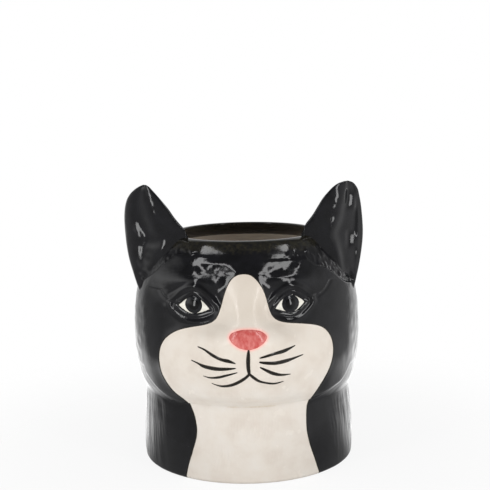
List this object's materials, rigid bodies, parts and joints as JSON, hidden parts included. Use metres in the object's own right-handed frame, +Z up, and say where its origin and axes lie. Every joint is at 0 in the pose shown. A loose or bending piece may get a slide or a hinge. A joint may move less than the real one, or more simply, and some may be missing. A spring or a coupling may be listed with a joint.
{
  "type": "animal shaped planter",
  "caption": "Hollow earthenware planter shaped as a cat's head on a round neck, open at the top between two cupped ears, with a glazed coat and a painted face.",
  "frame": {"origin": "under the middle of the plan box, on the plane that the foot stands on", "axes": "+Z up, the face looks along -Y, +X to the viewer's right when facing the cat"},
  "size_m": [0.1552, 0.1596, 0.18],
  "materials": {
    "earthenware": "unglazed biscuit-fired earthenware",
    "black_glaze": "glossy black glaze",
    "cream_glaze": "glossy warm white glaze",
    "inner_glaze": "glossy warm white glaze inside the pot",
    "pink_paint": "coral pink underglaze under clear gloss",
    "line_paint": "black brush line under clear gloss",
    "eye_white_paint": "off-white underglaze under clear gloss",
    "iris_paint": "dark grey-green underglaze under clear gloss",
    "pupil_paint": "black underglaze under clear gloss"
  },
  "bodies": {
    "root": {"earthenware_body": "earthenware", "left_ear": "earthenware", "right_ear": "earthenware", "black_glaze": "black_glaze", "crown_glaze": "black_glaze", "left_ear_glaze": "black_glaze", "right_ear_glaze": "black_glaze", "white_glaze": "cream_glaze", "interior_glaze": "inner_glaze", "pink_nose": "pink_paint", "mouth_line": "line_paint", "left_whiskers": "line_paint", "right_whiskers": "line_paint", "left_eye_white": "eye_white_paint", "right_eye_white": "eye_white_paint", "left_iris": "iris_paint", "right_iris": "iris_paint", "left_pupil": "pupil_paint", "right_pupil": "pupil_paint"}
  },
  "joints": []
}
